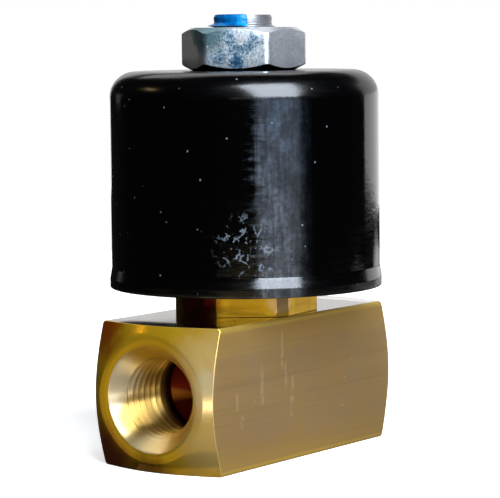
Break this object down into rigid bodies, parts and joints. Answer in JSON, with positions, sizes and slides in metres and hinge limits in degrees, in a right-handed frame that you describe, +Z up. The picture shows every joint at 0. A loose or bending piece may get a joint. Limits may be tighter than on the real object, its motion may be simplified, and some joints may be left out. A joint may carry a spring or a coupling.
{
  "type": "solenoid valve",
  "caption": "Direct-acting solenoid valve: square brass body with a threaded port in each end, hexagonal bonnet, black steel coil can and a retaining nut on top.",
  "frame": {"origin": "under the brass body, on the stem's axis, at the level of the face that the valve stands on", "axes": "+X along the flow from inlet to outlet, +Z up the stem towards the nut"},
  "size_m": [0.049, 0.0422, 0.0678],
  "materials": {
    "body_brass": "satin, drawn lengthwise",
    "bonnet_brass": "bright turned",
    "seal_rubber": "matte",
    "grommet_rubber": "matte",
    "stainless": "turned",
    "spring_steel": "bright wire",
    "plated_steel": "zinc plated",
    "zinc_plate": "zinc plated, mottled",
    "copper": "enamelled wire",
    "bobbin_plastic": "glass-filled nylon",
    "tape": "polyester tape",
    "fibre": "vulcanised fibre",
    "black_paint": "gloss black stoved enamel",
    "blue_paint": "dried thread-lock paint"
  },
  "bodies": {
    "valve": {"valve_body": "body_brass", "bonnet": "bonnet_brass", "bonnet_o_ring": "seal_rubber", "guide_tube": "stainless", "stop_core": "stainless", "shading_ring": "copper", "thread_lock_paint": "blue_paint"},
    "plunger_group": {"plunger": "stainless", "plunger_seal": "seal_rubber", "seal_retainer": "bonnet_brass", "plunger_spring": "spring_steel"},
    "coil_group": {"flux_plate": "plated_steel", "flux_sleeve": "plated_steel", "coil_bobbin": "bobbin_plastic", "coil_winding": "copper", "winding_tape": "tape", "terminal_tags": "bonnet_brass", "insulator_washers": "fibre", "wave_washer": "spring_steel", "coil_can": "black_paint", "lead_grommet": "grommet_rubber"},
    "nut_group": {"retaining_nut": "zinc_plate"}
  },
  "joints": [
    {"name": "plunger_lift", "type": "slide", "parent": "valve", "child": "plunger_group", "axis": [0, 0, 1], "range_m": [0, 0.002], "stiffness_N_per_m": 300, "springref_m": -0.004, "deforming": ["plunger_spring"]},
    {"name": "coil_swivel", "type": "hinge", "parent": "valve", "child": "coil_group", "pos_m": [0, 0, 0.043], "axis": [0, 0, 1], "continuous": true},
    {"name": "nut_turn", "type": "hinge", "parent": "valve", "child": "nut_group", "pos_m": [0, 0, 0.0626], "axis": [0, 0, 1], "continuous": true}
  ]
}
